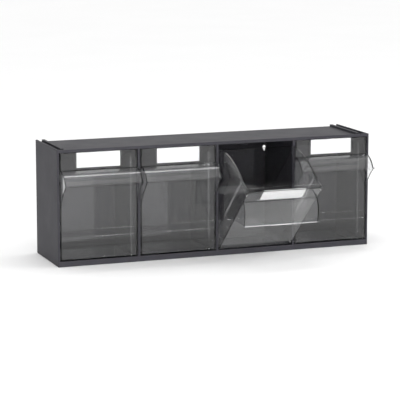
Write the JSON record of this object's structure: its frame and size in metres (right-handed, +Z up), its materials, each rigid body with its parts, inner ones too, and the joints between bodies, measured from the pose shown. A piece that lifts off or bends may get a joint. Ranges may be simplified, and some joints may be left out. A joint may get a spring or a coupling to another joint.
{
  "type": "tip-out bin storage unit",
  "caption": "Low wide storage housing with a row of clear tip-out bins, each with a label pocket and a hooded grip.",
  "frame": {"origin": "middle of the housing's footprint, on the surface it stands on", "axes": "+X along the row of bins to the viewer's right, -Y out of the front where the bins tip out, +Z up"},
  "size_m": [0.6, 0.2762, 0.209],
  "materials": {
    "housing": "fine satin moulded plastic, dark grey",
    "clear_bin": "clear, polished, slightly smoky moulded plastic",
    "label_card": "plain white card, blank"
  },
  "bodies": {
    "housing": {"end_panel_left": "housing", "end_panel_right": "housing", "top_panel": "housing", "bottom_panel": "housing", "back_panel": "housing", "partition_1": "housing", "partition_2": "housing", "partition_3": "housing"},
    "tilt_bin_1": {"bin_1": "clear_bin", "label_card_1": "label_card"},
    "tilt_bin_2": {"bin_2": "clear_bin", "label_card_2": "label_card"},
    "tilt_bin_3": {"bin_3": "clear_bin", "label_card_3": "label_card"},
    "tilt_bin_4": {"bin_4": "clear_bin", "label_card_4": "label_card"}
  },
  "joints": [
    {"name": "bin_1_tilt", "type": "hinge", "parent": "housing", "child": "tilt_bin_1", "pos_m": [-0.22387, -0.065, 0.015], "axis": [1, 0, 0], "range_deg": [0, 48]},
    {"name": "bin_2_tilt", "type": "hinge", "parent": "housing", "child": "tilt_bin_2", "pos_m": [-0.07462, -0.065, 0.015], "axis": [1, 0, 0], "range_deg": [0, 48]},
    {"name": "bin_3_tilt", "type": "hinge", "parent": "housing", "child": "tilt_bin_3", "pos_m": [0.07462, -0.065, 0.015], "axis": [1, 0, 0], "range_deg": [-48, 0]},
    {"name": "bin_4_tilt", "type": "hinge", "parent": "housing", "child": "tilt_bin_4", "pos_m": [0.22387, -0.065, 0.015], "axis": [1, 0, 0], "range_deg": [0, 48]}
  ]
}
